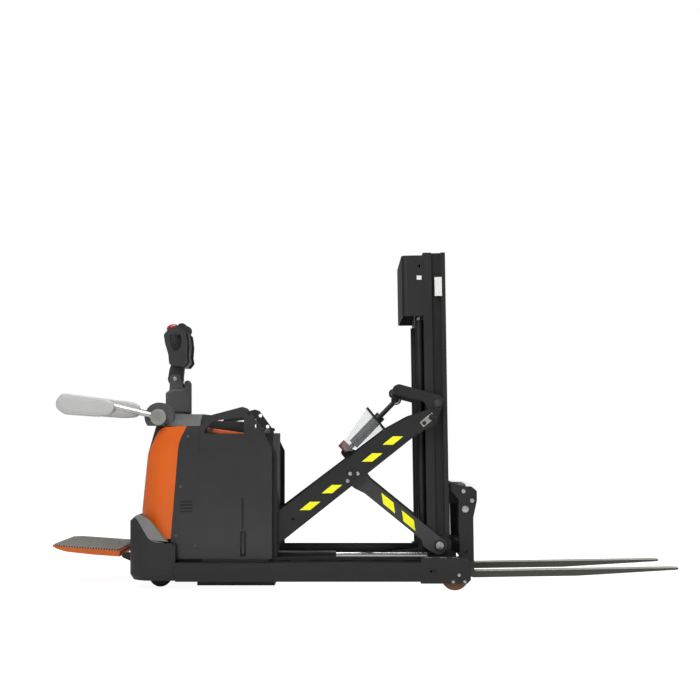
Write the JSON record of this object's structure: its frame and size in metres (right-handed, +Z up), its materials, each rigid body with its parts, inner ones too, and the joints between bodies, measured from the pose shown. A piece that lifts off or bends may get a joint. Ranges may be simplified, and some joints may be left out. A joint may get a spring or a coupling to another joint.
{
  "type": "electric pallet stacker",
  "caption": "Battery stacker with a two-stage mast that crossed scissor arms push out between straddle legs, a fold-up rider platform and a tiller.",
  "frame": {"origin": "On the floor below the middle of the bounding box.", "axes": "+X along the forks towards their tips, +Z up, +Y to the machine's left as a rider facing the forks sees it."},
  "size_m": [3.5192, 1.08, 1.8567],
  "materials": {
    "black_paint": "semi-gloss powder coat",
    "grey_paint": "semi-gloss powder coat",
    "dark_panel": "satin powder coat",
    "fork_paint": "worn paint, bare at the top faces",
    "orange_paint": "semi-gloss powder coat",
    "orange_plastic": "semi-gloss moulded cover",
    "black_plastic": "grained moulding",
    "grey_plastic": "grained moulding",
    "battery_plastic": "plain",
    "steel": "zinc plated",
    "chrome_rod": "ground and chromed",
    "clear_sheet": "clear polycarbonate",
    "grey_rubber": "ribbed",
    "brown_tread": "polyurethane tread",
    "castor_tread": "solid rubber tread",
    "pad_cloth": "padded vinyl"
  },
  "bodies": {
    "chassis": {"right_leg": "black_paint", "left_leg": "black_paint", "base_frame": "black_paint", "battery_case": "black_paint", "battery": "battery_plastic", "battery_lid": "black_paint", "side_covers": "dark_panel", "guard_plates": "dark_panel", "arm_brackets": "black_paint", "reach_barrel": "black_paint", "orange_cover": "orange_plastic", "dark_side_panels": "dark_panel", "rear_cap": "black_plastic", "console": "grey_plastic", "bumper_skirt": "dark_panel", "platform_brackets": "black_paint"},
    "right_load_wheel": {"right_load_wheel": "brown_tread"},
    "left_load_wheel": {"left_load_wheel": "brown_tread"},
    "long_arms": {"long_arms": "black_paint", "cylinder_guard": "clear_sheet"},
    "short_arms": {"short_arms": "grey_paint"},
    "mast_foot": {"mast_foot": "black_paint", "reach_rod": "chrome_rod"},
    "outer_mast": {"outer_mast": "black_paint", "lift_barrels": "black_paint"},
    "inner_mast": {"inner_mast": "black_paint", "lift_rods": "chrome_rod", "chain_sheaves": "steel", "lift_chains": "steel", "mast_head_cover": "black_paint"},
    "fork_carriage": {"fork_carriage": "black_paint", "carriage_screen": "clear_sheet", "right_fork": "fork_paint", "left_fork": "fork_paint"},
    "tilt_crank": {"tilt_crank": "black_paint"},
    "tilt_barrel": {"tilt_barrel": "black_paint"},
    "tilt_rod": {"tilt_rod": "chrome_rod"},
    "drive_unit": {"drive_unit": "black_paint"},
    "drive_wheel": {"drive_wheel": "brown_tread"},
    "right_castor_yoke": {"right_castor_yoke": "steel"},
    "right_castor_wheel": {"right_castor_wheel": "castor_tread"},
    "left_castor_yoke": {"left_castor_yoke": "steel"},
    "left_castor_wheel": {"left_castor_wheel": "castor_tread"},
    "platform": {"platform": "orange_paint", "platform_mat": "grey_rubber"},
    "right_guard_arm": {"right_guard_arm": "grey_paint", "right_guard_pad": "pad_cloth"},
    "left_guard_arm": {"left_guard_arm": "grey_paint", "left_guard_pad": "pad_cloth"},
    "steering_column": {"steering_column": "grey_plastic"},
    "tiller": {"tiller": "dark_panel"}
  },
  "joints": [
    {"name": "right_load_wheel_spin", "type": "hinge", "parent": "chassis", "child": "right_load_wheel", "pos_m": [0.484, -0.49, 0.075], "axis": [0, 1, 0], "continuous": true},
    {"name": "left_load_wheel_spin", "type": "hinge", "parent": "chassis", "child": "left_load_wheel", "pos_m": [0.484, 0.49, 0.075], "axis": [0, 1, 0], "continuous": true},
    {"name": "reach", "type": "hinge", "parent": "chassis", "child": "long_arms", "pos_m": [-0.559, 0, 0.231], "axis": [0, -1, 0], "range_deg": [0, 31.25]},
    {"name": "short_arm_pivot", "type": "hinge", "parent": "long_arms", "child": "short_arms", "pos_m": [-0.074, 0, 0.62521], "axis": [0, -1, 0], "range_deg": [-62.6, 0.1]},
    {"name": "foot_pivot", "type": "hinge", "parent": "short_arms", "child": "mast_foot", "pos_m": [0.411, 0, 0.231], "axis": [0, -1, 0], "range_deg": [-0.1, 31.3]},
    {"name": "mast_tilt", "type": "hinge", "parent": "mast_foot", "child": "outer_mast", "pos_m": [0.411, 0, 0.231], "axis": [0, -1, 0], "range_deg": [-2, 1.5]},
    {"name": "lift", "type": "slide", "parent": "outer_mast", "child": "inner_mast", "axis": [-0.0157, 0, 0.9999], "range_m": [0, 1.15]},
    {"name": "carriage_lift", "type": "slide", "parent": "inner_mast", "child": "fork_carriage", "axis": [-0.0157, 0, 0.9999], "range_m": [-0.001, 1.151], "deforming": ["lift_chains"]},
    {"name": "crank_pivot", "type": "hinge", "parent": "long_arms", "child": "tilt_crank", "pos_m": [0.36663, 0, 0.94083], "axis": [0, -1, 0], "range_deg": [-21, 15.8]},
    {"name": "tilt_cylinder_pivot", "type": "hinge", "parent": "long_arms", "child": "tilt_barrel", "pos_m": [-0.11127, 0, 0.73924], "axis": [0, -1, 0], "range_deg": [-1.6, 2.1]},
    {"name": "tilt_cylinder_rod", "type": "slide", "parent": "tilt_barrel", "child": "tilt_rod", "axis": [0.6944, 0, 0.7196], "range_m": [-0.056, 0.074]},
    {"name": "drive_steer", "type": "hinge", "parent": "chassis", "child": "drive_unit", "pos_m": [-1.09, 0, 0.222], "axis": [0, 0, 1], "range_deg": [-90, 90]},
    {"name": "drive_wheel_spin", "type": "hinge", "parent": "drive_unit", "child": "drive_wheel", "pos_m": [-1.09, 0, 0.115], "axis": [0, 1, 0], "continuous": true},
    {"name": "right_castor_swivel", "type": "hinge", "parent": "chassis", "child": "right_castor_yoke", "pos_m": [-1.1, -0.33, 0.192], "axis": [0, 0, 1], "continuous": true},
    {"name": "right_castor_spin", "type": "hinge", "parent": "right_castor_yoke", "child": "right_castor_wheel", "pos_m": [-1.138, -0.33, 0.062], "axis": [0, 1, 0], "continuous": true},
    {"name": "left_castor_swivel", "type": "hinge", "parent": "chassis", "child": "left_castor_yoke", "pos_m": [-1.1, 0.33, 0.192], "axis": [0, 0, 1], "continuous": true},
    {"name": "left_castor_spin", "type": "hinge", "parent": "left_castor_yoke", "child": "left_castor_wheel", "pos_m": [-1.138, 0.33, 0.062], "axis": [0, 1, 0], "continuous": true},
    {"name": "platform_fold", "type": "hinge", "parent": "chassis", "child": "platform", "pos_m": [-1.346, 0, 0.172], "axis": [0, 1, 0], "range_deg": [0, 83]},
    {"name": "right_guard_swing", "type": "hinge", "parent": "chassis", "child": "right_guard_arm", "pos_m": [-1.133, -0.45, 0.941], "axis": [0, 1, 0], "range_deg": [0, 80]},
    {"name": "left_guard_swing", "type": "hinge", "parent": "chassis", "child": "left_guard_arm", "pos_m": [-1.133, 0.45, 0.941], "axis": [0, 1, 0], "range_deg": [0, 80]},
    {"name": "column_turn", "type": "hinge", "parent": "chassis", "child": "steering_column", "pos_m": [-1.09, 0, 0.958], "axis": [0, 0, 1], "range_deg": [-90, 90]},
    {"name": "tiller_tilt", "type": "hinge", "parent": "steering_column", "child": "tiller", "pos_m": [-1.097, 0, 1.167], "axis": [0, -1, 0], "range_deg": [0, 75]}
  ],
  "couplings": [
    {"joint": "short_arm_pivot", "follows": "reach", "ratio": -2},
    {"joint": "foot_pivot", "follows": "reach", "ratio": 1},
    {"joint": "carriage_lift", "follows": "lift", "ratio": 1},
    {"joint": "crank_pivot", "follows": "mast_tilt", "ratio": 10.45},
    {"joint": "tilt_cylinder_pivot", "follows": "mast_tilt", "ratio": -0.985},
    {"joint": "tilt_cylinder_rod", "follows": "mast_tilt", "m_per_rad": -2.096},
    {"joint": "column_turn", "follows": "drive_steer", "ratio": 1}
  ]
}
